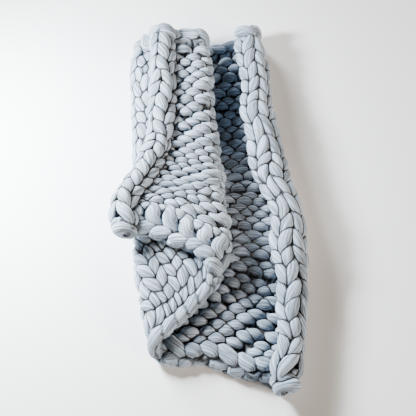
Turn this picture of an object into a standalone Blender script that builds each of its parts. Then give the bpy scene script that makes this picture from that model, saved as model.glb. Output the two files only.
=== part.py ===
"""A chunky knit throw, folded in three and laid on a floor.

The throw is one piece of very thick roving, knitted back and forth. Its section is one
back-and-forth path: the left selvage curls over on top of the upper layer, the upper layer
folds under at the ridge, the middle layer folds under at the lower left, and the bottom
layer ends in the right selvage, which curls up and over the other way. The hem runs down
in a zigzag from layer to layer. Rows are counted from the far end to the hem and columns
from the left selvage to the right one.
"""
import bmesh
import bpy
import numpy as np

# Knitting, in stitches. The far end is straight across the folded throw, so the upper
# layer starts a few rows later there than the bottom one does.
COLUMNS = 24
ROWS = 23
LATE_ROWS = 5

# Sheet, in metres. The purl face has bumps and the knit face the ribs of its V's, which
# lean along their column by a share of a row. What would lie lower than PRESSED_BELOW is
# pressed flat on the floor.
HALF_THICKNESS = 0.017
RELIEF = 0.0035
COLUMN_GROOVE = 0.0015
V_LEAN = 0.22
PRESSED_BELOW = 0.010

# Folded stack, in metres and degrees. The straight far end reaches from the left selvage
# to this share of the throw's width.
FAR_END_Y = 0.530
FAR_END_UNTIL = 0.49
BOTTOM_LAYER_Z = 0.020
MIDDLE_LAYER_Z = 0.066
LEFT_CURL_START = 6.0
RIGHT_CURL_END = 181.0

# Where the fold lines run, by distance y along the floor, in metres.
FOLD_COLUMNS = ("y", "left_roll", "ridge", "lower_fold", "right_roll",
                "left_radius", "right_radius", "upper_left_z", "upper_right_z")
FOLDS = (
    (0.575, -0.138, -0.046, -0.187, 0.120, 0.025, 0.029, 0.114, 0.114),
    (0.405, -0.138, -0.030, -0.194, 0.140, 0.026, 0.031, 0.113, 0.117),
    (0.255, -0.135, -0.024, -0.187, 0.150, 0.025, 0.037, 0.115, 0.120),
    (0.135, -0.141, -0.013, -0.178, 0.165, 0.025, 0.039, 0.115, 0.123),
    (0.035, -0.178, -0.004, -0.174, 0.190, 0.024, 0.038, 0.114, 0.122),
    (-0.045, -0.228, 0.006, -0.173, 0.213, 0.024, 0.037, 0.111, 0.119),
    (-0.165, -0.222, 0.019, -0.169, 0.226, 0.024, 0.035, 0.111, 0.118),
    (-0.295, -0.200, -0.012, -0.150, 0.228, 0.024, 0.027, 0.112, 0.114),
    (-0.445, -0.200, -0.012, -0.121, 0.216, 0.024, 0.027, 0.112, 0.114),
    (-0.595, -0.200, -0.012, -0.092, 0.197, 0.024, 0.028, 0.112, 0.114),
)

# How far along the floor each row lies, at six places across the throw, in metres.
ROW_COLUMNS = ("row", "left_roll", "upper_middle", "ridge", "lower_fold",
               "bottom_middle", "right_roll")
ROW_PLACES = (
    (0.0, 0.760, 0.760, 0.760, 0.530, 0.535, 0.580),
    (5.0, 0.530, 0.530, 0.530, 0.300, 0.285, 0.325),
    (9.0, 0.355, 0.355, 0.345, 0.105, 0.090, 0.120),
    (14.0, 0.140, 0.130, 0.105, -0.065, -0.085, -0.130),
    (18.0, 0.020, 0.010, -0.027, -0.240, -0.270, -0.330),
    (20.5, -0.053, -0.055, -0.145, -0.355, -0.395, -0.457),
    (23.0, -0.165, -0.173, -0.290, -0.473, -0.523, -0.579),
)


def column_of(table, names, name):
    """One named column of a table."""
    place = names.index(name)
    return np.array([line[place] for line in table])


def smooth(x, xs, ys):
    """A smooth curve through the points xs, ys, with xs rising."""
    slopes = np.gradient(ys, xs)
    k = np.clip(np.searchsorted(xs, x) - 1, 0, len(xs) - 2)
    span = xs[k + 1] - xs[k]
    f = (x - xs[k]) / span
    rise = ys[k + 1] - ys[k]
    a = slopes[k] * span - rise
    b = rise - slopes[k + 1] * span
    return ys[k] + f * rise + f * (1 - f) * (a * (1 - f) + b * f)


def fold_at(name, y):
    """The value of one fold column at a distance y along the floor."""
    ys = column_of(FOLDS, FOLD_COLUMNS, "y")[::-1]
    values = column_of(FOLDS, FOLD_COLUMNS, name)[::-1]
    return smooth(np.clip(y, ys[0], ys[-1]), ys, values)


def row_place(name, row):
    """How far along the floor a row lies, at one of the six places."""
    rows = column_of(ROW_PLACES, ROW_COLUMNS, "row")
    return smooth(row, rows, column_of(ROW_PLACES, ROW_COLUMNS, name))


def arc(cx, cz, radius, start, end, count=24):
    """Points on an arc in the section, by angle in degrees."""
    angles = np.radians(np.linspace(start, end, count))
    return np.column_stack([cx + radius * np.cos(angles), cz + radius * np.sin(angles)])


def section_path(row):
    """The folded path of one row, from the left selvage to the right one, as x, y, z."""
    y = {name: float(row_place(name, row)) for name in ROW_COLUMNS[1:]}
    left_z = fold_at("upper_left_z", y["left_roll"])
    ridge_z = fold_at("upper_right_z", y["ridge"])
    left_x = fold_at("left_roll", y["left_roll"])
    left_r = fold_at("left_radius", y["left_roll"])
    ridge_x = fold_at("ridge", y["ridge"])
    ridge_r = (ridge_z - MIDDLE_LAYER_Z) / 2
    fold_x = fold_at("lower_fold", y["lower_fold"])
    fold_r = (MIDDLE_LAYER_Z - BOTTOM_LAYER_Z) / 2
    right_x = fold_at("right_roll", y["right_roll"])
    right_r = fold_at("right_radius", y["right_roll"])
    parts = [
        arc(left_x, left_z + left_r, left_r, LEFT_CURL_START, 270),
        np.linspace((left_x, left_z), (ridge_x, ridge_z), 24),
        arc(ridge_x, ridge_z - ridge_r, ridge_r, 90, -90),
        np.linspace((ridge_x, MIDDLE_LAYER_Z), (fold_x, MIDDLE_LAYER_Z), 24),
        arc(fold_x, BOTTOM_LAYER_Z + fold_r, fold_r, 90, 270),
        np.linspace((fold_x, BOTTOM_LAYER_Z), (right_x, BOTTOM_LAYER_Z), 36),
        arc(right_x, BOTTOM_LAYER_Z + right_r, right_r, -90, RIGHT_CURL_END),
    ]
    starts = np.cumsum([0] + [len(part) for part in parts])
    flat = np.vstack(parts)
    steps = np.hypot(*np.diff(flat, axis=0).T)
    along = np.concatenate([[0], np.cumsum(steps)])
    middle = [(starts[k] + starts[k + 1]) // 2 for k in range(7)]
    places = along[[starts[1] - 8, middle[1], middle[2], middle[4], middle[5], starts[6] + 8]]
    heights = np.array([y[name] for name in ROW_COLUMNS[1:]])
    ys = smooth(np.clip(along, places[0], places[-1]), places, heights)
    return np.column_stack([flat[:, 0], ys, flat[:, 1]])


def row_points(row, fractions):
    """Points of one row at even fractions of its length."""
    path = section_path(row)
    steps = np.linalg.norm(np.diff(path, axis=0), axis=1)
    along = np.concatenate([[0], np.cumsum(steps)])
    along /= along[-1]
    return np.column_stack([np.interp(fractions, along, path[:, k]) for k in range(3)])


def row_frame(row, fractions):
    """Points of one row and the directions in which its purl side faces."""
    here = row_points(row, fractions)
    across = row_points(row, np.minimum(fractions + 0.004, 1))
    across -= row_points(row, np.maximum(fractions - 0.004, 0))
    along = row_points(row + 0.2, fractions) - row_points(row - 0.2, fractions)
    normals = np.cross(along, across)
    return here, normals / np.linalg.norm(normals, axis=1)[:, None]


def first_row(fraction):
    """The row in which a column of stitches starts: where it passes the far end."""
    if fraction > FAR_END_UNTIL:
        return 0.0
    low = 0.0
    high = float(LATE_ROWS)
    for _ in range(16):
        row = (low + high) / 2
        beyond = row_points(row, np.array([fraction]))[0, 1] > FAR_END_Y
        low, high = (row, high) if beyond else (low, row)
    return high


def rib_lean(row, fractions, signs, outside):
    """How far each point of a row moves along its column, to make the ribs of the V's.

    The middle of a stitch moves towards the hem and its borders away from it. Where the
    face is squeezed together inside a bend, the V's are flatter.
    """
    ahead = row_points(row + V_LEAN, fractions) - row_points(row, fractions)
    behind = row_points(row, fractions) - row_points(row - V_LEAN, fractions)
    gaps = np.linalg.norm(np.diff(outside, axis=0), axis=1)
    gaps = np.minimum(np.append(gaps, gaps[-1]), np.insert(gaps, 0, gaps[0]))
    squeeze = np.clip(gaps / np.median(gaps), 0, 1) ** 2
    moves = np.where(signs[:, None] > 0, ahead, -behind)
    return moves * squeeze[:, None]


def face_points(side, starts):
    """Points of the purl face (side 1) or the knit face (side -1), two by two a stitch."""
    across = 2 * COLUMNS + 1
    fractions = np.linspace(0, 1, across)
    middle_of_stitch = np.arange(across) % 2 == 1
    signs = np.where(middle_of_stitch, 1.0, -1.0)
    points = {}
    for line in range(2 * ROWS + 1):
        here, normals = row_frame(line / 2, fractions)
        if side > 0:
            bumps = np.where((np.arange(across) + line) % 2, RELIEF, -RELIEF)
        else:
            bumps = np.where(middle_of_stitch, 0, -COLUMN_GROOVE) + (RELIEF if line % 2 else -RELIEF)
            if 0 < line < 2 * ROWS:
                here = here + rib_lean(line / 2, fractions, signs, here - HALF_THICKNESS * normals)
        outside = here + side * (HALF_THICKNESS + bumps)[:, None] * normals
        for i in range(across):
            points[i, line] = outside[i]
    for i in range(across):
        edge, edge_n = row_frame(starts[i], fractions[i:i + 1])
        points[i, "edge"] = (edge + side * HALF_THICKNESS * edge_n)[0]
    return points


def add_face(mesh, corners):
    """A triangle, where its corners differ."""
    if len(set(corners)) == 3:
        mesh.faces.new(corners)


def add_side(mesh, side, starts):
    """One face of the throw, split so that bumps stay apart. Returns its vertices."""
    points = face_points(side, starts)
    corners = {}
    for i in range(2 * COLUMNS + 1):
        for line in range(2 * ROWS + 1):
            key = (i, "edge") if line / 2 <= starts[i] + 0.2 else (i, line)
            if key not in corners:
                x, y, z = points[key]
                corners[key] = mesh.verts.new((x, y, z if z > PRESSED_BELOW else 0.0))
            corners[i, line] = corners[key]
    for i in range(2 * COLUMNS):
        for line in range(2 * ROWS):
            quad = [corners[i, line], corners[i, line + 1],
                    corners[i + 1, line + 1], corners[i + 1, line]]
            first = (i + line) % 2
            for k in (first, first + 2):
                add_face(mesh, (quad[k % 4], quad[(k + 1) % 4], quad[(k + 2) % 4]))
    return corners


def add_rim(mesh, top, bottom):
    """The selvages, the far end and the hem, between the two faces."""
    last_i = 2 * COLUMNS
    last_line = 2 * ROWS
    loop = [(0, line) for line in range(last_line)]
    loop += [(i, last_line) for i in range(last_i)]
    loop += [(last_i, line) for line in range(last_line, 0, -1)]
    loop += [(i, 0) for i in range(last_i, 0, -1)]
    for k, place in enumerate(loop):
        after = loop[(k + 1) % len(loop)]
        if top[place] is not top[after]:
            mesh.faces.new([top[place], top[after], bottom[after], bottom[place]])


def roving_material():
    """Soft unspun wool roving, pale blue grey."""
    material = bpy.data.materials.new("wool_roving")
    material.use_nodes = True
    shader = material.node_tree.nodes["Principled BSDF"]
    shader.inputs["Base Color"].default_value = (0.52, 0.58, 0.64, 1.0)
    shader.inputs["Roughness"].default_value = 0.9
    shader.inputs["Metallic"].default_value = 0.0
    material.diffuse_color = (0.52, 0.58, 0.64, 1.0)
    return material


def build_blanket():
    """The throw as one closed solid."""
    mesh = bmesh.new()
    starts = [first_row(i / (2 * COLUMNS)) for i in range(2 * COLUMNS + 1)]
    print("first rows:", " ".join(f"{start:.1f}" for start in starts[::4]))
    top = add_side(mesh, 1, starts)
    bottom = add_side(mesh, -1, starts)
    add_rim(mesh, top, bottom)
    bmesh.ops.triangulate(mesh, faces=mesh.faces[:])
    bmesh.ops.recalc_face_normals(mesh, faces=mesh.faces[:])
    data = bpy.data.meshes.new("blanket")
    mesh.to_mesh(data)
    mesh.free()
    blanket = bpy.data.objects.new("blanket", data)
    data.materials.append(roving_material())
    bpy.context.collection.objects.link(blanket)
    return blanket


def main():
    for old in list(bpy.data.objects):
        bpy.data.objects.remove(old, do_unlink=True)
    blanket = build_blanket()
    print(f"blanket: {len(blanket.data.polygons)} triangles, "
          f"{', '.join(f'{side * 1000:.0f} mm' for side in blanket.dimensions)}")


main()
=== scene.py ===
# %% [markdown]
# # A chunky knit throw, folded in three
#
# The throw is knitted from one kind of roving: wool that is combed and drawn out but hardly
# spun, about as thick as a thumb. Nothing is sewn on. Everything that shows is loops of that
# roving, so the scene draws the roving itself, stitch by stitch, and lets light and shade do
# the rest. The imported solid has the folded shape. It is measured first and then replaced by
# the knitting, which follows the same folds.

import math

import bmesh
import bpy
import numpy as np
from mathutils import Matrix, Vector
from mathutils.kdtree import KDTree


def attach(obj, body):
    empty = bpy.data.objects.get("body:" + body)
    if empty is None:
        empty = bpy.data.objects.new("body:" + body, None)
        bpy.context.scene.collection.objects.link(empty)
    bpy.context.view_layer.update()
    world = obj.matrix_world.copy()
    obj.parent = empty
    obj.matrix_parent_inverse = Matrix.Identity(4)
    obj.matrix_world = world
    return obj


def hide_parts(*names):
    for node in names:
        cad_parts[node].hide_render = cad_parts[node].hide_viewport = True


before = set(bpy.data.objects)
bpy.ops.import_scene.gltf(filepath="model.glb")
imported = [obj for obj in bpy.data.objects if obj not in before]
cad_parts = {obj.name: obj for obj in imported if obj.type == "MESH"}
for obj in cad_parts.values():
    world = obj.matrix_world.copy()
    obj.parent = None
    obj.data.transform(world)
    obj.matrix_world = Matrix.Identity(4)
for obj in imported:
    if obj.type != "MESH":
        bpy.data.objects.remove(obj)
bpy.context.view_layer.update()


def put_in_scene(name, data):
    """A new object for a mesh, lamp or camera."""
    thing = bpy.data.objects.new(name, data)
    bpy.context.collection.objects.link(thing)
    return thing


# %% [markdown]
# ## The folds
#
# The throw lies in three layers. The upper layer starts at the left selvage, which curls
# over on top of it, and folds under at the ridge. The middle layer runs back under it to the
# lower fold, and the bottom layer ends in the right selvage, which curls up and over. A
# knitted sheet bends like that by itself: stockinette curls towards its purl side along its
# selvages. The fold lines and the places of the rows are those of the solid, in the same
# two tables. A cloth simulation would lose them, so each row is laid along them instead.

# %% Fold lines and rows, in metres, stitches and degrees
COLUMNS = 24
ROWS = 23
LATE_ROWS = 5
FAR_END_Y = 0.530
FAR_END_UNTIL = 0.49
BOTTOM_LAYER_Z = 0.022
MIDDLE_LAYER_Z = 0.067
# The rolls are a little tighter than the solid's, because loops stand out from the sheet.
TIGHTER_LEFT = 0.007
TIGHTER_RIGHT = 0.003
LEFT_CURL_START = -35.0
RIGHT_CURL_END = 165.0

# Points of a section path on each bend, upper layer and bottom layer, and how many points
# into a curl its rows are placed.
BEND_POINTS = 24
LAYER_POINTS = 24
BOTTOM_POINTS = 36
POINTS_INTO_CURL = 8

FOLD_COLUMNS = ("y", "left_roll", "ridge", "lower_fold", "right_roll",
                "left_radius", "right_radius", "upper_left_z", "upper_right_z")
FOLDS = (
    (0.575, -0.138, -0.046, -0.187, 0.120, 0.025, 0.029, 0.114, 0.114),
    (0.405, -0.138, -0.030, -0.194, 0.140, 0.026, 0.031, 0.113, 0.117),
    (0.255, -0.135, -0.024, -0.187, 0.150, 0.025, 0.037, 0.115, 0.120),
    (0.135, -0.141, -0.013, -0.178, 0.165, 0.025, 0.039, 0.115, 0.123),
    (0.035, -0.178, -0.004, -0.174, 0.190, 0.024, 0.038, 0.114, 0.122),
    (-0.045, -0.228, 0.006, -0.173, 0.213, 0.024, 0.037, 0.111, 0.119),
    (-0.165, -0.222, 0.019, -0.169, 0.226, 0.024, 0.035, 0.111, 0.118),
    (-0.295, -0.200, -0.012, -0.150, 0.228, 0.024, 0.027, 0.112, 0.114),
    (-0.445, -0.200, -0.012, -0.121, 0.216, 0.024, 0.027, 0.112, 0.114),
    (-0.595, -0.200, -0.012, -0.092, 0.197, 0.024, 0.028, 0.112, 0.114),
)
ROW_COLUMNS = ("row", "left_roll", "upper_middle", "ridge", "lower_fold",
               "bottom_middle", "right_roll")
ROW_PLACES = (
    (0.0, 0.760, 0.760, 0.760, 0.530, 0.535, 0.580),
    (5.0, 0.530, 0.530, 0.530, 0.300, 0.285, 0.325),
    (9.0, 0.355, 0.355, 0.345, 0.105, 0.090, 0.120),
    (14.0, 0.140, 0.130, 0.105, -0.065, -0.085, -0.130),
    (18.0, 0.020, 0.010, -0.027, -0.240, -0.270, -0.330),
    (20.5, -0.053, -0.055, -0.145, -0.355, -0.395, -0.457),
    (23.0, -0.165, -0.173, -0.290, -0.473, -0.523, -0.579),
)


def smooth(x, xs, ys):
    """A smooth curve through the points xs, ys, with xs rising."""
    slopes = np.gradient(ys, xs)
    k = np.clip(np.searchsorted(xs, x) - 1, 0, len(xs) - 2)
    span = xs[k + 1] - xs[k]
    f = (x - xs[k]) / span
    rise = ys[k + 1] - ys[k]
    a = slopes[k] * span - rise
    b = rise - slopes[k + 1] * span
    return ys[k] + f * rise + f * (1 - f) * (a * (1 - f) + b * f)


def fold_at(name, y):
    """The value of one fold column at a distance y along the floor."""
    table = np.array(FOLDS)[::-1]
    place = np.clip(y, table[0, 0], table[-1, 0])
    return smooth(place, table[:, 0], table[:, FOLD_COLUMNS.index(name)])


def row_place(name, row):
    """How far along the floor a row lies, at one of the six places."""
    table = np.array(ROW_PLACES)
    return float(smooth(row, table[:, 0], table[:, ROW_COLUMNS.index(name)]))


def bend(cx, cz, radius, start, end):
    """Points on an arc in the section, by angle in degrees."""
    angles = np.radians(np.linspace(start, end, BEND_POINTS))
    return np.column_stack([cx + radius * np.cos(angles), cz + radius * np.sin(angles)])


def section_path(row):
    """The folded path of one row, from the left selvage to the right one, as x, y, z."""
    y = {name: row_place(name, row) for name in ROW_COLUMNS[1:]}
    left_z = fold_at("upper_left_z", y["left_roll"])
    ridge_z = fold_at("upper_right_z", y["ridge"])
    left_x = fold_at("left_roll", y["left_roll"])
    left_r = fold_at("left_radius", y["left_roll"]) - TIGHTER_LEFT
    ridge_x = fold_at("ridge", y["ridge"])
    ridge_r = (ridge_z - MIDDLE_LAYER_Z) / 2
    fold_x = fold_at("lower_fold", y["lower_fold"])
    fold_r = (MIDDLE_LAYER_Z - BOTTOM_LAYER_Z) / 2
    right_x = fold_at("right_roll", y["right_roll"])
    right_r = fold_at("right_radius", y["right_roll"]) - TIGHTER_RIGHT
    parts = [
        bend(left_x, left_z + left_r, left_r, LEFT_CURL_START, 270),
        np.linspace((left_x, left_z), (ridge_x, ridge_z), LAYER_POINTS),
        bend(ridge_x, ridge_z - ridge_r, ridge_r, 90, -90),
        np.linspace((ridge_x, MIDDLE_LAYER_Z), (fold_x, MIDDLE_LAYER_Z), LAYER_POINTS),
        bend(fold_x, BOTTOM_LAYER_Z + fold_r, fold_r, 90, 270),
        np.linspace((fold_x, BOTTOM_LAYER_Z), (right_x, BOTTOM_LAYER_Z), BOTTOM_POINTS),
        bend(right_x, BOTTOM_LAYER_Z + right_r, right_r, -90, RIGHT_CURL_END),
    ]
    starts = np.cumsum([0] + [len(part) for part in parts])
    flat = np.vstack(parts)
    along = np.concatenate([[0], np.cumsum(np.hypot(*np.diff(flat, axis=0).T))])
    middle = [(starts[k] + starts[k + 1]) // 2 for k in range(7)]
    places = along[[starts[1] - POINTS_INTO_CURL, middle[1], middle[2], middle[4], middle[5],
                    starts[6] + POINTS_INTO_CURL]]
    heights = np.array([y[name] for name in ROW_COLUMNS[1:]])
    ys = smooth(np.clip(along, places[0], places[-1]), places, heights)
    return np.column_stack([flat[:, 0], ys, flat[:, 1]])


def even_points(path, fractions):
    """Points of a path at even fractions of its length, and on beyond its ends."""
    steps = np.linalg.norm(np.diff(path, axis=0), axis=1)
    along = np.concatenate([[0], np.cumsum(steps)]) / steps.sum()
    inside = np.column_stack([np.interp(fractions, along, path[:, k]) for k in range(3)])
    first = (path[1] - path[0]) / (along[1] - along[0])
    last = (path[-1] - path[-2]) / (along[-1] - along[-2])
    before = np.minimum(fractions, 0)[:, None] * first
    return inside + before + np.maximum(fractions - 1, 0)[:, None] * last


print(f"throw: {COLUMNS} columns by {ROWS} rows, fold lines at {len(FOLDS)} distances")

# %% [markdown]
# The stitches need a place for any column and row, also a little beyond the edges, where the
# hem and the turns of the yarn lie. So the folded sheet is worked out once on a fine net of
# columns and rows. The net holds each point and the direction in which its purl side faces.

# %% The folded sheet as a net
NET_COLUMN_STEP = 0.125
NET_ROW_STEP = 0.25
NET_COLUMNS = np.arange(-1, COLUMNS + 1.001, NET_COLUMN_STEP)
NET_ROWS = np.arange(-1, ROWS + 1.001, NET_ROW_STEP)
BEYOND_COLUMNS = round(1 / NET_COLUMN_STEP)
BEYOND_ROWS = round(1 / NET_ROW_STEP)
FIRST_ROW_TRIES = 101
STARTS_A_COLUMN = 8


def sheet_net():
    """Points and purl directions of the folded sheet, by row and column."""
    fractions = NET_COLUMNS / COLUMNS
    rows = [even_points(section_path(np.clip(r, 0, ROWS)), fractions) for r in NET_ROWS]
    points = np.array(rows)
    first, last = np.flatnonzero((NET_ROWS >= 0) & (NET_ROWS <= ROWS))[[0, -1]]
    for k in range(len(NET_ROWS)):
        if k < first:
            points[k] = points[first] + (first - k) * (points[first] - points[first + 1])
        if k > last:
            points[k] = points[last] + (k - last) * (points[last] - points[last - 1])
    normals = np.cross(np.gradient(points, axis=0), np.gradient(points, axis=1))
    return points, normals / np.linalg.norm(normals, axis=2)[:, :, None]


def net_bends():
    """How sharply the sheet bends towards its purl side, as one over the radius."""
    steps = np.linalg.norm(np.gradient(NET_POINTS, axis=1), axis=2)[:, :, None]
    heading = np.gradient(NET_POINTS, axis=1) / steps
    return np.sum(np.gradient(heading, axis=1) / steps * NET_NORMALS, axis=2)[:, :, None]


NET_POINTS, NET_NORMALS = sheet_net()
NET_PITCH = np.gradient(NET_POINTS, axis=0) / NET_ROW_STEP
NET_BENDS = net_bends()


def from_net(net, columns, rows):
    """Values of the net at any columns and rows, as a blend of the four around each."""
    c = np.clip((columns - NET_COLUMNS[0]) / NET_COLUMN_STEP, 0, len(NET_COLUMNS) - 1.001)
    r = np.clip((rows - NET_ROWS[0]) / NET_ROW_STEP, 0, len(NET_ROWS) - 1.001)
    i, j = c.astype(int), r.astype(int)
    f, g = (c - i)[:, None], (r - j)[:, None]
    low = net[j, i] * (1 - f) + net[j, i + 1] * f
    high = net[j + 1, i] * (1 - f) + net[j + 1, i + 1] * f
    return low * (1 - g) + high * g


def first_row(column):
    """The row in which a column of stitches starts: where it passes the far end."""
    if column > FAR_END_UNTIL * COLUMNS:
        return 0.0
    rows = np.linspace(0, LATE_ROWS, FIRST_ROW_TRIES)
    ys = from_net(NET_POINTS, np.full(FIRST_ROW_TRIES, float(column)), rows)[:, 1]
    return float(rows[np.argmax(ys <= FAR_END_Y)]) if (ys <= FAR_END_Y).any() else LATE_ROWS


FIRST_ROW_COLUMNS = np.linspace(0, COLUMNS, STARTS_A_COLUMN * COLUMNS + 1)
FIRST_ROWS = np.array([first_row(c) for c in FIRST_ROW_COLUMNS])

sheet = NET_POINTS[BEYOND_ROWS:-BEYOND_ROWS, BEYOND_COLUMNS:-BEYOND_COLUMNS]
widths = np.linalg.norm(np.diff(sheet, axis=1), axis=2).sum(1)
print(f"width along a row: {widths.min():.2f} to {widths.max():.2f} m")

# %% [markdown]
# ## The stitch
#
# One row of stockinette is one length of yarn that swings up and down. In each stitch it
# comes out of the foot, climbs a leg, turns at the head and goes down the other leg. Heads and
# feet lie on the purl side, where they show as bumps, and the legs lie on the knit side, where
# they show as a V. Sines describe that: one along the column, one that squares it off, and two
# of double speed that widen the head and move the yarn from face to face. Real roving is soft,
# so it swells in the middle of a leg or bump and is squeezed where it passes another loop. It
# is knitted by hand, so no two stitches are the same: soft waves move whole patches, and each
# yarn wanders and changes its thickness a little.

# %% Stitch sizes and hand-made unevenness
# The roving and the sheet, in metres.
YARN_HALF_WIDTH = 0.0130
YARN_HALF_THICKNESS = 0.0118
STITCH_DEPTH = 0.0105
ROW_SPACING = 0.046

# The path of a stitch, in columns and rows, and how its thickness changes, as shares.
STITCH_SPREAD = 0.25
STITCH_REACH = 0.92
STITCH_SQUARE = 0.12
SWELL = 0.24
LEG_SWELL = 0.10
SELVAGE_REACH = 0.33

# Steps of a stitch's path, and of its slow changes.
STEPS = 32
HALF_STITCH = STEPS // 2

# Rows of loops. The first and last row of the throw are its two edge cords.
FIRST_KNIT_ROW = 1
LAST_KNIT_ROW = 21

# A row opens in a column once the far end is this far behind. There the feet of the loops
# lie flat, and so do the heads of the last row, because no loop passes through them.
OPEN_AFTER = 0.4
FLAT_FEET_WITHIN = 1.5
FLAT_FEET_FADE = 0.4
FLAT_FEET = 0.9
FLAT_HEADS = 0.8

# How uneven a yarn is: columns, rows, metres, share of its width.
COLUMN_UNEVEN = 0.045
ROW_UNEVEN = 0.07
DEPTH_UNEVEN = 0.0012
WIDTH_UNEVEN = 0.07

# How far the soft waves move a patch: columns, rows, metres.
LUMP_SIZE = (0.13, 0.13, 0.0022)
LUMP_WAVES = 5

# A yarn path is a table with one line a step and these columns: where it is in the sheet, how
# deep towards the purl side, how wide, how far its width follows the row spacing, how far it
# counts as inside the fabric, and how light the painted shade in its creases stays.
COLUMN, ROW, DEPTH, WIDE, ACROSS, INSIDE, CREASE = range(7)

chance = np.random.default_rng(7)
lump_waves = chance.uniform(0.7, 1.7, (3, LUMP_WAVES, 2))
lump_phases = chance.uniform(0, 2 * np.pi, (3, LUMP_WAVES))


def yarn_path(columns, rows, depth, wide, across=0.0, inside=0.0, crease=0.0):
    """A yarn path from its columns; a single number stands for every step."""
    path = np.empty((len(columns), 7))
    for place, values in enumerate((columns, rows, depth, wide, across, inside, crease)):
        path[:, place] = values
    return path


def lumps(path):
    """Moves neighbouring loops together, so that the sheet is a little uneven."""
    moved = path.copy()
    for axis in (COLUMN, ROW, DEPTH):
        for (across, along), phase in zip(lump_waves[axis], lump_phases[axis]):
            wave = np.sin(across * path[:, COLUMN] + along * path[:, ROW] + phase)
            moved[:, axis] += LUMP_SIZE[axis] / math.sqrt(LUMP_WAVES) * wave
    return moved


def uneven(count, spacing, amount):
    """Soft random change along a yarn: one random value every spacing steps."""
    knots = chance.normal(0, amount, count // spacing + 3)
    return smooth(np.arange(count) / spacing, np.arange(len(knots)), knots)


def row_yarn(row, first_column):
    """The yarn of one row, from its first column to the right selvage."""
    stitches = COLUMNS - first_column
    turn = np.linspace(0, 2 * np.pi * stitches, STEPS * stitches + 1)
    count = len(turn)
    columns = first_column + turn / (2 * np.pi) + STITCH_SPREAD * np.sin(2 * turn)
    columns = columns + uneven(count, HALF_STITCH, COLUMN_UNEVEN)
    rows = row + 0.5 + STITCH_REACH * np.cos(turn) - STITCH_SQUARE * np.cos(3 * turn)
    rows = rows + uneven(count, HALF_STITCH, ROW_UNEVEN)
    depth = STITCH_DEPTH * np.cos(2 * turn) + uneven(count, HALF_STITCH, DEPTH_UNEVEN)
    start = np.interp(columns, FIRST_ROW_COLUMNS, FIRST_ROWS)
    at_far_end = np.clip((FLAT_FEET_WITHIN - (row - start)) / FLAT_FEET_FADE, 0, 1)
    heads = np.cos(turn) * np.cos(2 * turn)
    depth = depth * (1 - FLAT_FEET * at_far_end * np.clip(-heads, 0, 1))
    if row == LAST_KNIT_ROW:
        depth = depth * (1 - FLAT_HEADS * np.clip(heads, 0, 1))
    wide = 1 + SWELL * np.cos(4 * turn) - LEG_SWELL * np.cos(2 * turn)
    wide = wide + uneven(count, HALF_STITCH, WIDTH_UNEVEN)
    return yarn_path(columns, rows, depth, wide, across=(1 + np.cos(2 * turn)) / 2, inside=1.0)


def selvage_turn(start, end, side):
    """The half circle in which the yarn goes round a selvage into the next row."""
    turn = np.linspace(0, np.pi, HALF_STITCH + 1)[1:-1]
    path = start + (1 - np.cos(turn))[:, None] / 2 * (end - start)
    path[:, COLUMN] += side * SELVAGE_REACH * np.sin(turn)
    return path


def knitted_rows(first, last):
    """One length of yarn through several rows, back and forth."""
    parts = []
    for row in range(first, last):
        open_from = next(c for c in range(COLUMNS) if first_row(c) <= row - OPEN_AFTER)
        path = row_yarn(row, open_from)
        rightwards = row % 2 == 0
        path = path if rightwards else path[::-1]
        if parts:
            parts.append(selvage_turn(parts[-1][-1], path[0], -1 if rightwards else 1))
        parts.append(path)
    return np.vstack(parts)


print(f"roving: {YARN_HALF_WIDTH * 2000:.0f} mm wide and {YARN_HALF_THICKNESS * 2000:.0f} mm thick")

# %% [markdown]
# ## From a path to roving
#
# Roving is drawn out by hand into one long soft strand, so each yarn is built as one tube
# around its path. Each ring of the tube is set up from two directions: the way the yarn runs
# and the way the sheet's purl side faces there, so no ring twists. Where rows are close
# together, or the sheet bends tightly towards its purl side, loops are squeezed. On the floor
# the weight of the throw presses them flat.

# %% Rings round a yarn
SIDES = 18
PRESSED_BELOW = 0.007
# Bumps inside a bend of this radius, in metres, lose this share of their height.
TIGHT_BEND = 0.0225
TIGHT_FLATTENS = 0.7
# How narrow and wide a loop gets with the spacing of the rows; none gets thicker than that.
NARROWEST = 0.6
WIDEST = 1.15
# How far the thickness of a yarn follows its width.
THICKNESS_FOLLOWS = 0.6
# Loops count as inside the fabric from this far off a selvage and off the far end.
INSIDE_SELVAGE = 0.5
INSIDE_FAR_END = 0.9
INSIDE_FADE = 0.6


def across_yarn(vectors, ahead):
    """Vectors turned square to the way the yarn runs, of length one."""
    square = vectors - ahead * np.sum(ahead * vectors, axis=1)[:, None]
    return square / np.linalg.norm(square, axis=1)[:, None]


def run_of(centre):
    """The way a yarn runs at each step."""
    ahead = np.gradient(centre, axis=0)
    return ahead / np.linalg.norm(ahead, axis=1)[:, None]


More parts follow.
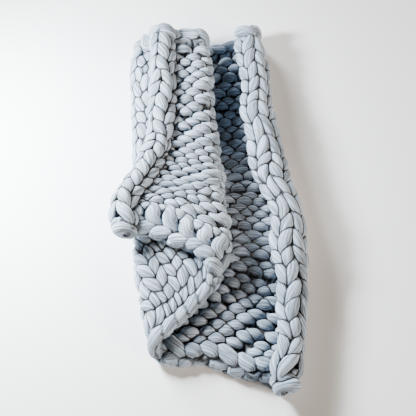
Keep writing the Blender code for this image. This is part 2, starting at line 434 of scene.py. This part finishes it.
def tube_rings(path):
    """Centres, frames and half sizes of the rings of a roving along a path."""
    path = lumps(path)
    place = path[:, COLUMN], path[:, ROW]
    normals = from_net(NET_NORMALS, *place)
    normals /= np.linalg.norm(normals, axis=1)[:, None]
    tight = np.clip(from_net(NET_BENDS, *place)[:, 0] * TIGHT_BEND, 0, 1)
    depth = path[:, DEPTH]
    depth = np.where(depth > 0, depth * (1 - TIGHT_FLATTENS * tight), depth)
    centre = from_net(NET_POINTS, *place) + depth[:, None] * normals
    ahead = run_of(centre)
    up = across_yarn(normals, ahead)
    pitch = np.linalg.norm(from_net(NET_PITCH, *place), axis=1)
    crowded = np.clip(pitch / ROW_SPACING, NARROWEST, WIDEST)
    wide = YARN_HALF_WIDTH * path[:, WIDE] * (1 + path[:, ACROSS] * (crowded - 1))
    thick = 1 - THICKNESS_FOLLOWS + THICKNESS_FOLLOWS * path[:, WIDE]
    off_selvage = np.minimum(path[:, COLUMN], COLUMNS - path[:, COLUMN])
    off_far_end = path[:, ROW] - np.interp(path[:, COLUMN], FIRST_ROW_COLUMNS, FIRST_ROWS)
    inside = np.clip(off_selvage / INSIDE_SELVAGE, 0, 1) * path[:, INSIDE]
    inside *= np.clip((off_far_end - INSIDE_FAR_END) / INSIDE_FADE, 0, 1)
    return {"centre": centre, "ahead": ahead, "up": up, "side": np.cross(ahead, up),
            "wide": wide, "thick": YARN_HALF_THICKNESS * np.minimum(thick, WIDEST),
            "depth": depth, "inside": inside, "crease": path[:, CREASE]}


def side_angles():
    """The angles of a ring's points."""
    return np.linspace(0, 2 * np.pi, SIDES, endpoint=False)


def ring_points(rings):
    """The points of all rings, by ring and side."""
    up = rings["up"][:, None] * (rings["thick"][:, None] * np.cos(side_angles()))[:, :, None]
    side = rings["side"][:, None] * (rings["wide"][:, None] * np.sin(side_angles()))[:, :, None]
    return rings["centre"][:, None] + up + side


def pressed(points):
    """Points with what would be below the floor pressed flat onto it."""
    z = points[:, 2]
    soft = PRESSED_BELOW * np.exp(np.minimum(z - PRESSED_BELOW, 0) / PRESSED_BELOW)
    points[:, 2] = np.where(z < PRESSED_BELOW, soft, z)
    return points


print(f"rings of {SIDES} points, {STEPS} rings a stitch")

# %% [markdown]
# The tube itself is a flat grid that is wound round the yarn, welded along its seam and closed
# at both ends. It has its own coordinates for the fibres: round it, along it, and a slow twist,
# because a hand that draws out roving turns it a little.

# %% A grid wound round the yarn
# Twist of the fibres, in radians a metre. One unit of the fibres' coordinates is half a yarn's
# width across it and FIBRE_LENGTH along it, so a streak is about 30 times as long as wide.
TWIST = 9.0
FIBRE_LENGTH = 0.400
WELD = 1e-6


def wound_grid(rings, gaps):
    """A bmesh grid wound round the yarn, welded along its seam and closed at both ends."""
    count = len(rings["centre"])
    steps = np.linalg.norm(np.diff(rings["centre"], axis=0), axis=1)
    length = np.concatenate([[0], np.cumsum(steps)])
    places = pressed(ring_points(rings).reshape(-1, 3)).reshape(count, SIDES, 3).tolist()
    bm = bmesh.new()
    bmesh.ops.create_grid(bm, x_segments=count - 1, y_segments=SIDES, size=1.0,
                          calc_uvs=bool(bm.loops.layers.uv.new("OFBake")))
    fibres = bm.verts.layers.float_vector.new("fibres")
    gap = bm.verts.layers.float.new("gap")
    gap_values = gaps.tolist()
    for vert in bm.verts:
        ring = round((vert.co.x + 1) / 2 * (count - 1))
        side = round((vert.co.y + 1) / 2 * SIDES) % SIDES
        vert.co = places[ring][side]
        twist = 2 * math.pi * side / SIDES + TWIST * length[ring]
        vert[fibres] = (math.cos(twist), math.sin(twist), length[ring] / FIBRE_LENGTH)
        vert[gap] = gap_values[ring][side]
    bmesh.ops.remove_doubles(bm, verts=bm.verts, dist=WELD)
    ends = [edge for edge in bm.edges if edge.is_boundary]
    bmesh.ops.holes_fill(bm, edges=ends, sides=SIDES)
    bmesh.ops.recalc_face_normals(bm, faces=bm.faces)
    return bm, float(length[-1])


def tube_piece(name, rings, gaps, material):
    """An object for one length of roving."""
    bm, length = wound_grid(rings, gaps)
    mesh = bpy.data.meshes.new(name)
    bm.to_mesh(mesh)
    bm.free()
    mesh.shade_smooth()
    spread_cells(mesh, len(rings["centre"]) - 1)
    mesh.materials.append(material)
    return put_in_scene(name, mesh), length


print(f"fibres turn once in {2 * math.pi / TWIST:.2f} m of roving")

# %% [markdown]
# Each piece also has a map, for pictures of its surface. One long strip for a yarn of thirty
# metres would be all length and no width, so the map is cut into one cell for each stitch, set
# out in rows, with the two small end caps in a strip above them.

# %% The map: a cell for each stitch
CELL_SHAPE = 2.6
CELL_MARGIN = (0.02, 0.04)
CELL_FILL = (0.96, 0.92)
CAP_STRIP = 0.96
CAP_RADIUS = 0.015


def spread_cells(mesh, steps):
    """Lays the map out as one cell for each stitch, with the two end caps in a strip above."""
    stitches = steps / STEPS
    wide = max(1, round(math.sqrt(stitches / CELL_SHAPE)))
    high = math.ceil(stitches / wide)
    layer = mesh.uv_layers["OFBake"]
    uv = np.empty(len(layer.data) * 2, np.float32)
    layer.data.foreach_get("uv", uv)
    uv = uv.reshape(-1, 2)
    quads = np.array([face.loop_start for face in mesh.polygons if face.loop_total == 4])
    corners = quads[:, None] + np.arange(4)
    along = uv[corners, 0] * stitches
    cell = np.floor(along.mean(1))[:, None]
    in_cell = CELL_MARGIN[0] + CELL_FILL[0] * (along - cell)
    up_cell = CELL_MARGIN[1] + CELL_FILL[1] * uv[corners, 1]
    placed = np.empty_like(uv)
    placed[corners, 0] = (cell % wide + in_cell) / wide
    placed[corners, 1] = CAP_STRIP * (cell // wide + up_cell) / high
    caps = [face for face in mesh.polygons if face.loop_total > 4]
    for number, face in enumerate(caps):
        angles = np.linspace(0, 2 * np.pi, face.loop_total, endpoint=False)
        loops = np.arange(face.loop_start, face.loop_start + face.loop_total)
        placed[loops, 0] = CAP_RADIUS * (2 + 3 * number + np.cos(angles))
        placed[loops, 1] = (1 + CAP_STRIP) / 2 + CAP_RADIUS * np.sin(angles)
    layer.data.foreach_set("uv", placed.reshape(-1))


print(f"cells {CELL_SHAPE} times as wide as high, caps above {CAP_STRIP:.0%} of the map")

# %% [markdown]
# Where two loops touch, little light gets in, and the eye reads the dark line between them as
# the edge of a stitch. The creases are far finer than the shadows that lamps cast, so each
# point of a tube is given its distance to the nearest other loop, and painted shade darkens
# the wool's colour where that is small. Points deep in the fabric get painted shade as well,
# halfway between its two faces.

# %% Creases between loops
# CREASE_WIDTH is in half widths of a loop; NEAR, RING_REACH, RING_FADE, DEEP_BELOW and
# OPEN_ABOVE are in metres. Only rings nearer than NEAR are looked at, and of a point's own
# yarn only those more than OWN_RINGS rings away from it.
# Painted shade: the wool's colour darkens as the gap falls below CREASE_WIDTH; DEEP_SHADE and
# DEEP_FADE set it deep in the fabric, LEG_CREASE on the legs of the knit side.
CREASE_WIDTH = 0.17
NEAR = 0.040
RING_REACH = 0.005
RING_FADE = 0.010
OWN_RINGS = 7
OTHER_YARN = 100000
DEEP_BELOW = 0.005
OPEN_ABOVE = 0.014
DEEP_SHADE = 0.30
DEEP_FADE = 0.75
LEG_CREASE = 0.85


def gaps_to_others(joined, order):
    """How far each ring point is from the nearest other loop, in loop half widths."""
    tree = KDTree(len(order))
    for number, point in enumerate(joined["centre"]):
        tree.insert(point, number)
    tree.balance()
    points = ring_points(joined)
    gaps = np.ones(points.shape[:2])
    for number, point in enumerate(joined["centre"]):
        near = np.array([hit[1] for hit in tree.find_range(point, NEAR)])
        near = near[np.abs(order[near] - order[number]) > OWN_RINGS]
        if not len(near):
            continue
        to = points[number][:, None] - joined["centre"][near][None]
        up = np.sum(to * joined["up"][near], -1) / joined["thick"][near]
        side = np.sum(to * joined["side"][near], -1) / joined["wide"][near]
        ahead = np.abs(np.sum(to * joined["ahead"][near], -1)) - RING_REACH
        ahead = np.maximum(ahead, 0) / RING_FADE
        gaps[number] = np.minimum(np.sqrt(up * up + side * side + ahead * ahead).min(1) - 1, 1)
    return gaps


def with_depth(gaps, joined):
    """Painted shade as smaller gaps deep in the fabric; cords and coils kept from going too dark.
    """
    height = np.abs(joined["depth"][:, None] + joined["thick"][:, None] * np.cos(side_angles()))
    open_share = np.clip((height - DEEP_BELOW) / (OPEN_ABOVE - DEEP_BELOW), 0, 1)
    open_share = 1 - (1 - open_share) * joined["inside"][:, None]
    most = CREASE_WIDTH * (DEEP_SHADE + DEEP_FADE * open_share) + 2 * (open_share == 1)
    gaps = np.minimum(gaps, most)
    legs = (joined["depth"] < 0) & (joined["inside"] > 0)
    gaps = np.where(legs[:, None], gaps * LEG_CREASE, gaps)
    least = np.where(joined["crease"] > 0, CREASE_WIDTH * joined["crease"], -1)
    return np.maximum(gaps, least[:, None])


def loop_gaps(all_rings):
    """The gap of each ring point, for all the yarns together, as one array for each yarn."""
    joined = {name: np.concatenate([rings[name] for rings in all_rings])
              for name in all_rings[0]}
    order = np.concatenate([np.arange(len(rings["centre"])) + OTHER_YARN * number
                            for number, rings in enumerate(all_rings)])
    gaps = with_depth(gaps_to_others(joined, order), joined)
    return np.split(gaps, np.cumsum([len(rings["centre"]) for rings in all_rings])[:-1])


print(f"creases: {CREASE_WIDTH * YARN_HALF_WIDTH * 1000:.1f} mm wide on each loop")

# %% [markdown]
# ## The wool
#
# Unspun roving is wool that was washed, dyed in one bath, combed and drawn out. Its fibres
# all run along it, and nothing holds them flat, so it is matt and soft. The dye takes a little
# more or less from lock to lock: that gives streaks, lighter and darker, that follow each loop.
# Single fibres stand up and catch light at grazing angles. The streaks are noise stretched
# along the yarn's own coordinates, once for locks of 5 mm and once, finer, for fibres.

# %% Wool material
WOOL_LIGHT = "#A6B6C9"
WOOL_DARK = "#687480"
# Painted shade: the near-black colour that the wool is mixed towards in creases and deep in the
# fabric.
PAINTED_CREASE_SHADE = "#141517"

# Sizes in metres. A real fibre is about 0.02 mm thick, too fine to show, so strands of fibres
# are drawn 1.8 mm wide, as coarse as they need to be.
LOCK_WIDTH = 0.0050
FIBRE_WIDTH = 0.0018
FIBRE_RELIEF = 0.0035

# The yarn's coordinates go once round a circle of radius one, which is half the yarn's width.
LOCK_SCALE = YARN_HALF_WIDTH / LOCK_WIDTH
FIBRE_SCALE = YARN_HALF_WIDTH / FIBRE_WIDTH
LOCK_STOPS = ((0.38, WOOL_LIGHT), (0.46, WOOL_DARK), (0.50, WOOL_DARK), (0.58, WOOL_LIGHT))
FIBRE_RANGE = (0.38, 0.60)
FIBRE_SHADES = (0.78, 1.12)
CREASE_START = 0.02
MIX_A, MIX_B, MIX_RESULT = 6, 7, 2


def linear(colour):
    """An sRGB hex colour as linear red, green, blue and alpha."""
    parts = [int(colour[k:k + 2], 16) / 255 for k in (1, 3, 5)]
    return [p / 12.92 if p <= 0.04045 else ((p + 0.055) / 1.055) ** 2.4 for p in parts] + [1.0]


def add_node(tree, kind, settings=(), inputs=(), links=()):
    """A node with its settings, input values and links."""
    node = tree.nodes.new(kind)
    for name, value in dict(settings).items():
        setattr(node, name, value)
    for name, value in dict(inputs).items():
        node.inputs[name].default_value = value
    for name, socket in dict(links).items():
        tree.links.new(socket, node.inputs[name])
    return node


def new_material(name, looks):
    """A material, its node tree and its shader, with values that are the same all over."""
    material = bpy.data.materials.new(name)
    material.use_nodes = True
    shader = material.node_tree.nodes["Principled BSDF"]
    for socket, value in looks.items():
        shader.inputs[socket].default_value = value
    return material, material.node_tree, shader


def wool_material():
    """Combed wool: matt, streaked along the yarn, a little fuzzy, with painted shade in its
    creases.
    """
    material, tree, shader = new_material("wool_roving", {
        "Roughness": 0.9, "Specular IOR Level": 0.25, "Sheen Weight": 0.25, "Sheen Roughness": 0.5})
    fibres = add_node(tree, "ShaderNodeAttribute", {"attribute_name": "fibres"}).outputs["Vector"]
    locks = add_node(tree, "ShaderNodeTexNoise", {},
                     {"Scale": LOCK_SCALE, "Detail": 2.0, "Roughness": 0.55},
                     {"Vector": fibres})
    ramp = add_node(tree, "ShaderNodeValToRGB", {}, {}, {"Fac": locks.outputs["Fac"]})
    for number, (position, colour) in enumerate(LOCK_STOPS):
        if number > 1:
            ramp.color_ramp.elements.new(position)
        stop = ramp.color_ramp.elements[number]
        stop.position = position
        stop.color = linear(colour)
    fine = add_node(tree, "ShaderNodeTexNoise", {},
                    {"Scale": FIBRE_SCALE, "Detail": 4.0, "Roughness": 0.65},
                    {"Vector": fibres})
    strand = add_node(tree, "ShaderNodeMapRange", {},
                      {"From Min": FIBRE_RANGE[0], "From Max": FIBRE_RANGE[1],
                       "To Min": FIBRE_SHADES[0], "To Max": FIBRE_SHADES[1]},
                      {"Value": fine.outputs["Fac"]})
    combed = add_node(tree, "ShaderNodeVectorMath", {"operation": "SCALE"}, {},
                      {"Vector": ramp.outputs["Color"], "Scale": strand.outputs["Result"]})
    bump = add_node(tree, "ShaderNodeBump", {}, {"Strength": 0.7, "Distance": FIBRE_RELIEF},
                    {"Height": fine.outputs["Fac"]})
    # Painted shade: the colour is mixed towards the painted crease shade where a point lies close
    # to another loop or deep in the fabric.
    gap = add_node(tree, "ShaderNodeAttribute", {"attribute_name": "gap"}).outputs["Fac"]
    shade = add_node(tree, "ShaderNodeMapRange", {"interpolation_type": "SMOOTHSTEP"},
                     {"From Min": CREASE_START, "From Max": CREASE_WIDTH + CREASE_START},
                     {"Value": gap})
    mix = add_node(tree, "ShaderNodeMix", {"data_type": "RGBA"}, {MIX_A: linear(PAINTED_CREASE_SHADE)},
                   {"Factor": shade.outputs["Result"], MIX_B: combed.outputs["Vector"]})
    tree.links.new(mix.outputs[MIX_RESULT], shader.inputs["Base Color"])
    tree.links.new(bump.outputs["Normal"], shader.inputs["Normal"])
    material.diffuse_color = linear(WOOL_LIGHT)
    return material


wool = wool_material()
print(f"wool: locks {LOCK_WIDTH * 1000:.1f} mm wide, fibres drawn {FIBRE_WIDTH * 1000:.1f} mm wide")

# %% [markdown]
# ## The knitting
#
# The throw is knitted back and forth, so the yarn turns round at each selvage and comes back
# in the next row. Roving comes in balls, and a new one is joined on after some rows, so the
# rows are built in four lots of one length of yarn each. Up to the fifth, rows start at the far
# end and not at the left selvage, so the first lot ends there: a turn on to the sixth row would
# run across the upper layer.

# %% Rows of stitches
LOTS = ((FIRST_KNIT_ROW, 6), (6, 11), (11, 16), (16, LAST_KNIT_ROW + 1))
yarns = {f"knit_rows_{number}": knitted_rows(first, last)
         for number, (first, last) in enumerate(LOTS, 1)}
for name, path in yarns.items():
    print(f"{name}: {len(path)} rings")

# %% [markdown]
# ## The two ends
#
# The first row is cast on and the last one is cast off, and both leave a cord along the edge.
# It is a chain: each of its turns overlaps the next one, so it shows one long slanted strand a
# stitch on either face. Beside the hem lies a collar of bound-off loops, one for each column.
# They are larger than the others, as where an edge is bound off loosely. On the bottom layer
# the hem rolls under: there the cord lies lower and further back, and the loops lie along it.

# %% Hem and far end
# Reaches, spreads and insets are in columns and rows, depths in metres, widths in shares of
# the roving's width.
EDGE_REACH = 0.19
EDGE_DEPTH = 0.0090
EDGE_OVERLAP = 0.32
EDGE_WIDE = 1.22
EDGE_SWELL = 0.26
EDGE_UNEVEN = (0.05, 0.03, 0.0008, 0.06)
HEM_INSET = 0.55
FAR_END_INSET = 0.42
HEM_COLUMNS = (0.8, 22.4)
HEM_CREASE = 0.4
SOFT_CREASE = 0.8

LAST_LOOP_INSET = 1.40
LAST_LOOP_DEPTH = 0.0100
LAST_LOOP_RAISED = 0.005
LAST_LOOP_WIDE = 1.25
LAST_LOOP_UNEVEN = (0.04, 0.05, 0.06)
# Spread, reach and swell of a last loop, upright and lying.
UPRIGHT_LOOP = (-0.10, 0.36, 0.45)
LYING_LOOP = (0.16, 0.22, 0.30)

# Where the hem rolls under, and how far.
TUCK_FROM = (14.5, 1.5)
TUCK_UNTIL = (21.5, 1.0)
TUCK_BACK = 0.10
TUCK_DEPTH = 0.010
TUCK_LOOPS_ON = 0.30


def tucked(columns):
    """How far the hem is rolled under: not at all but on the bottom layer."""
    begins = np.clip((columns - TUCK_FROM[0]) / TUCK_FROM[1], 0, 1)
    return begins * np.clip((TUCK_UNTIL[0] - columns) / TUCK_UNTIL[1], 0, 1)


def edge_turns():
    """The turns of an edge yarn: one a stitch."""
    return np.linspace(0, 2 * np.pi * COLUMNS, STEPS * COLUMNS + 1)


def edge_yarn(row_at, hand, crease):
    """The cord along an edge: one turn a stitch, with a long strand on either face."""
    turn = edge_turns()
    count = len(turn)
    columns = turn / (2 * np.pi) + EDGE_OVERLAP * np.sin(2 * turn)
    columns = columns + uneven(count, STEPS, EDGE_UNEVEN[0])
    rows = np.array([row_at(c) for c in np.clip(columns, 0, COLUMNS)])
    rows = rows - hand * EDGE_REACH * np.sin(turn) + uneven(count, STEPS, EDGE_UNEVEN[1])
    depth = EDGE_DEPTH * np.cos(turn) + uneven(count, STEPS, EDGE_UNEVEN[2])
    wide = EDGE_WIDE + EDGE_SWELL * np.cos(2 * turn)
    wide = wide + uneven(count, HALF_STITCH, EDGE_UNEVEN[3])
    return yarn_path(columns, rows, depth, wide, crease=crease)


def last_loops(row):
    """The bound-off loops on the purl side, one for each column: upright, or lying if tucked."""
    turn = edge_turns()
    count = len(turn)
    columns = 0.5 + turn / (2 * np.pi)
    lying = tucked(columns)
    spread, reach, swell = (upright + (flat - upright) * lying
                            for upright, flat in zip(UPRIGHT_LOOP, LYING_LOOP))
    columns = columns + spread * np.sin(2 * turn) + uneven(count, STEPS, LAST_LOOP_UNEVEN[0])
    rows = row + reach * np.sin(turn) + uneven(count, STEPS, LAST_LOOP_UNEVEN[1])
    depth = LAST_LOOP_RAISED + LAST_LOOP_DEPTH * np.cos(turn)
    wide = LAST_LOOP_WIDE + swell * np.cos(turn)
    wide = wide + uneven(count, HALF_STITCH, LAST_LOOP_UNEVEN[2])
    return yarn_path(columns, rows, depth, wide, crease=HEM_CREASE)


def along_hem(path):
    """The part of an edge yarn that lies along the hem, between the two rolls."""
    first, last = HEM_COLUMNS
    return path[round(first * STEPS):round(last * STEPS)]


hem = along_hem(edge_yarn(lambda c: ROWS - HEM_INSET - TUCK_BACK * tucked(c), 1, HEM_CREASE))
hem[:, DEPTH] -= TUCK_DEPTH * tucked(hem[:, COLUMN])
collar = along_hem(last_loops(ROWS - LAST_LOOP_INSET))
collar[:, ROW] += TUCK_LOOPS_ON * tucked(collar[:, COLUMN])
yarns["knit_hem"] = hem
yarns["knit_last_loops"] = collar
yarns["knit_far_end"] = edge_yarn(lambda c: first_row(c) + FAR_END_INSET, -1, SOFT_CREASE)
print(f"hem: {len(hem)} rings, last loops: {len(collar)}, far end: {len(yarns['knit_far_end'])}")

# %% [markdown]
# At the hem each rolled selvage is drawn in, so that it doesn't gape, and its last strand goes
# round the open end like a band. It is built as a coil that winds once and a quarter, from near
# the end of the hem cord in to the middle. It faces the way the roll points, so that from above
# its outer turn shows as the band, and its eye hardly shows.

# %% Coiled ends of the rolls
# Metres, degrees and shares of the coil's length or of the roving's width.
COIL_STEPS = 96
COIL_TURNS = 1.25
COIL_TILT = 2.0
COIL_LEAN = 0.5
COIL_BULGE = 0.017
COIL_SINK = 0.022
COIL_SINKS_OVER = 0.28
COIL_DRAWN_IN = 0.98
COIL_TIGHTENS = 1.5
COIL_WIDE = 1.12
COIL_GROWS = 0.50
COIL_LOBES = 3.5
COIL_PINCH = 0.24
COIL_UNEVEN = 0.05
COIL_CREASE = 0.45
COIL_END = 0.35
COIL_TAPER = 0.06


def coil_rings(centre, radius, start, hand):
    """Rings of a roving coiled over the end of a roll; hand is 1 or -1, the way it winds."""
    share = np.linspace(0, 1, COIL_STEPS)
    angle = np.radians(start) + hand * 2 * np.pi * COIL_TURNS * share
    reach = radius * (1 - COIL_DRAWN_IN * share ** COIL_TIGHTENS)
    tilt = math.radians(COIL_TILT)
    raised = np.array((0.0, math.sin(tilt), math.cos(tilt)))
    outwards = np.array((0.0, -math.cos(tilt), math.sin(tilt)))
    radial = np.cos(angle)[:, None] * np.array((1.0, 0.0, 0.0)) + np.sin(angle)[:, None] * raised
    bulge = COIL_BULGE * np.sin(share * np.pi / 2)
    sunk = np.maximum(share - (1 - COIL_SINKS_OVER), 0) / COIL_SINKS_OVER
    bulge -= COIL_SINK * sunk ** 2
    places = np.array(centre) + reach[:, None] * radial + bulge[:, None] * outwards
    ahead = run_of(places)
    up = across_yarn(outwards + COIL_LEAN * radial, ahead)
    full = COIL_WIDE + COIL_GROWS * share - COIL_PINCH * np.cos(2 * np.pi * COIL_LOBES * share)
    full = full + uneven(COIL_STEPS, HALF_STITCH, COIL_UNEVEN)
    full *= np.clip(np.minimum(share, 1 - share) / COIL_TAPER, COIL_END, 1)
    none = np.zeros(COIL_STEPS)
    return {"centre": places, "ahead": ahead, "up": up, "side": np.cross(ahead, up),
            "wide": YARN_HALF_WIDTH * full, "thick": YARN_HALF_THICKNESS * full,
            "depth": none, "inside": none, "crease": none + COIL_CREASE}


# For each roll: the row at which its coil lies, how much wider it is than the roll, how far it
# stands off it, and the angle at which it starts.
RIGHT_COIL = {"row": 22.3, "wider": 0.009, "off": 0.007, "start": -150}
LEFT_COIL = {"row": 22.4, "wider": 0.011, "off": 0.0, "start": -30}

right_y = row_place("right_roll", RIGHT_COIL["row"])
right_r = fold_at("right_radius", right_y) - TIGHTER_RIGHT
right_end = (fold_at("right_roll", right_y), right_y - RIGHT_COIL["off"], BOTTOM_LAYER_Z + right_r)
left_y = row_place("left_roll", LEFT_COIL["row"])
left_r = fold_at("left_radius", left_y) - TIGHTER_LEFT
left_end = (fold_at("left_roll", left_y), left_y - LEFT_COIL["off"],
            fold_at("upper_left_z", left_y) + left_r)
coils = {
    "knit_right_coil": coil_rings(right_end, right_r + RIGHT_COIL["wider"],
                                  RIGHT_COIL["start"], 1),
    "knit_left_coil": coil_rings(left_end, left_r + LEFT_COIL["wider"], LEFT_COIL["start"], -1),
}
print(f"rolls: {left_r * 2000:.0f} mm and {right_r * 2000:.0f} mm across, to the yarn's middle")

# %% [markdown]
# ## All the loops
#
# Every yarn becomes one tube. The gaps are measured between all of them at once, because rows,
# cords and coils press on each other. All of them stand for the one knitted sheet.

# %% All loops as meshes
all_rings = [tube_rings(path) for path in yarns.values()] + list(coils.values())
pieces = []
yarn_length = 0.0
for name, rings, gaps in zip([*yarns, *coils], all_rings, loop_gaps(all_rings)):
    piece, length = tube_piece(name, rings, gaps, wool)
    pieces.append(piece)
    yarn_length += length
    print(f"{name}: {length:.1f} m of roving, {len(piece.data.polygons)} faces")
print(f"roving in all: {yarn_length:.0f} m")

for piece in pieces:
    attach(piece, "root")
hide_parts("blanket")

# %% [markdown]
# ## Floor, light and camera
#
# The throw lies on pale paper in a pale room. A soft box close by at the upper left makes that
# side the brighter one and throws soft shadows to the right. A narrow lamp above lifts the
# middle. Two low, soft lights from far away, one behind at the left and one in front at the
# right, rake over the loops and keep the shade from going black. The camera looks down on the
# throw from its hem end, with a long lens, so that the layers hide each other as they do in
# the photo.

# %% Stage
CAMERA_ELEVATION = 64.0
CAMERA_DISTANCE = 2.7
CAMERA_AIM = Vector((0.0, -0.045, 0.06))
CAMERA_LENS = 81.95
SENSOR_WIDTH = 36
WARM = (1.0, 0.86, 0.72)
COOL = (0.90, 0.96, 1.0)
FLOOR_HALF_SIZE = 40.0
FLOOR_PAPER = "#F4F4F4"
ROOM_LIGHT = 0.015
ROOM_SEEN = 0.8


def aimed(name, light, colour, power, location, direction):
    """A lamp of some colour and power, put somewhere and pointed along a direction."""
    light.color = colour
    light.energy = power
    lamp = put_in_scene(name, light)
    lamp.location = location
    lamp.rotation_euler = Vector(direction).to_track_quat("-Z", "Y").to_euler()


def near_light(name, location, aim, size, power, colour):
    """A square lamp in a soft box, close enough to be brighter on the side it stands on."""
    light = bpy.data.lights.new(name, "AREA")
    light.size = size
    aimed(name, light, colour, power, location, Vector(aim) - Vector(location))


def spot_light(name, location, aim, cone, size, power, colour):
    """A lamp with a soft-edged cone."""
    light = bpy.data.lights.new(name, "SPOT")
    light.shadow_soft_size = size
    light.spot_size = math.radians(cone)
    light.spot_blend = 1.0
    aimed(name, light, colour, power, location, Vector(aim) - Vector(location))


def far_light(name, bearing, height, angle, power, colour):
    """A soft light far away, at a compass bearing and a height in degrees: even everywhere."""
    light = bpy.data.lights.new(name, "SUN")
    light.angle = math.radians(angle)
    around, over = math.radians(bearing), math.radians(height)
    source = Vector((math.cos(over) * math.cos(around), math.cos(over) * math.sin(around),
                     math.sin(over)))
    aimed(name, light, colour, power, source, -source)


def pale_room():
    """A room that gives hardly any light and is seen as pale behind the floor's edge."""
    world = bpy.data.worlds.new("studio")
    world.use_nodes = True
    room = world.node_tree
    dim = add_node(room, "ShaderNodeBackground", {}, {"Color": (*WARM, 1), "Strength": ROOM_LIGHT})
    pale = add_node(room, "ShaderNodeBackground", {},
                    {"Color": (1, 1, 1, 1), "Strength": ROOM_SEEN})
    seen = add_node(room, "ShaderNodeLightPath").outputs["Is Camera Ray"]
    both = add_node(room, "ShaderNodeMixShader", {}, {},
                    {"Fac": seen, 1: dim.outputs["Background"], 2: pale.outputs["Background"]})
    room.links.new(both.outputs["Shader"], room.nodes["World Output"].inputs["Surface"])
    return world


bm = bmesh.new()
bmesh.ops.create_grid(bm, x_segments=1, y_segments=1, size=FLOOR_HALF_SIZE)
floor_mesh = bpy.data.meshes.new("floor")
bm.to_mesh(floor_mesh)
bm.free()
# Uncoated paper: its tangled fibres scatter light evenly, so it has no shine and no grain.
floor_paper, _, _ = new_material("floor_paper", {
    "Base Color": linear(FLOOR_PAPER), "Roughness": 0.95})
floor_mesh.materials.append(floor_paper)
floor = put_in_scene("floor", floor_mesh)

near_light("key_light", location=(-0.90, 0.30, 0.72), aim=(-0.15, -0.30, 0.05),
           size=0.3, power=100, colour=COOL)
spot_light("top_light", location=(0.10, -0.20, 1.2), aim=(0.10, -0.07, 0.05),
           cone=22, size=0.15, power=36, colour=WARM)
far_light("left_light", bearing=125, height=22, angle=15, power=6.0, colour=COOL)
far_light("right_light", bearing=330, height=20, angle=20, power=5.2, colour=WARM)
bpy.context.scene.world = pale_room()

elevation = math.radians(CAMERA_ELEVATION)
ahead = Vector((0, math.cos(elevation), -math.sin(elevation)))
camera_data = bpy.data.cameras.new("camera")
camera_data.lens = CAMERA_LENS
camera_data.sensor_width = SENSOR_WIDTH
camera = put_in_scene("camera", camera_data)
camera.location = CAMERA_AIM - CAMERA_DISTANCE * ahead
camera.rotation_euler = ahead.to_track_quat("-Z", "Y").to_euler()
bpy.context.scene.camera = camera
print(f"camera {CAMERA_DISTANCE} m away, looking down at {CAMERA_ELEVATION:.0f} degrees")
